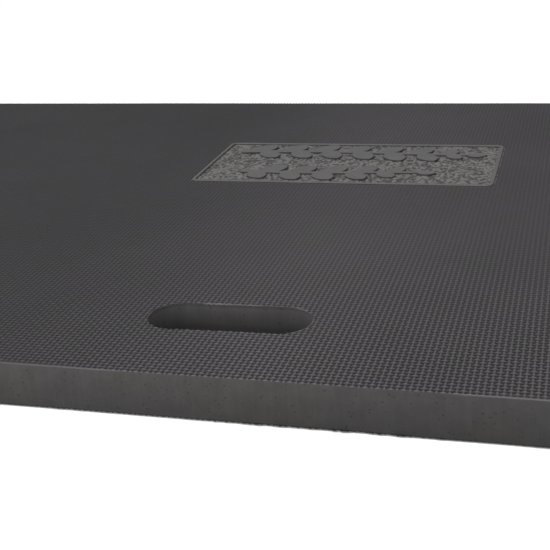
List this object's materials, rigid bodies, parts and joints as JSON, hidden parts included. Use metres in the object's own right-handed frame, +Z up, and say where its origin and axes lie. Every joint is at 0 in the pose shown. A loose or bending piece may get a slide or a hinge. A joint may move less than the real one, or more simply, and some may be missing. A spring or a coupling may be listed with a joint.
{
  "type": "kneeling pad",
  "caption": "Thick rectangular foam kneeling pad with woven-look moulded skins, a die-cut hand slot near one long edge and a raised leaf badge.",
  "frame": {"origin": "middle of the underside, on the surface the pad lies on", "axes": "+X along the long side, -Y towards the long edge with the hand slot, +Z up through the thickness"},
  "size_m": [0.9144, 0.6096, 0.0266],
  "materials": {
    "cut_foam": "matte die-cut closed-cell foam, fine open pores, warm charcoal",
    "skin": "satin moulded foam skin with a fine woven relief, charcoal",
    "badge_field": "matte stippled foam, slightly paler charcoal",
    "badge_raised": "smooth satin moulded foam, slightly paler charcoal"
  },
  "bodies": {
    "root": {"foam_core": "cut_foam", "bottom_skin": "skin", "top_skin": "skin", "badge_plate": "badge_field", "badge_rim": "badge_raised", "upper_sprig": "badge_raised", "lower_sprig": "badge_raised"}
  },
  "joints": []
}
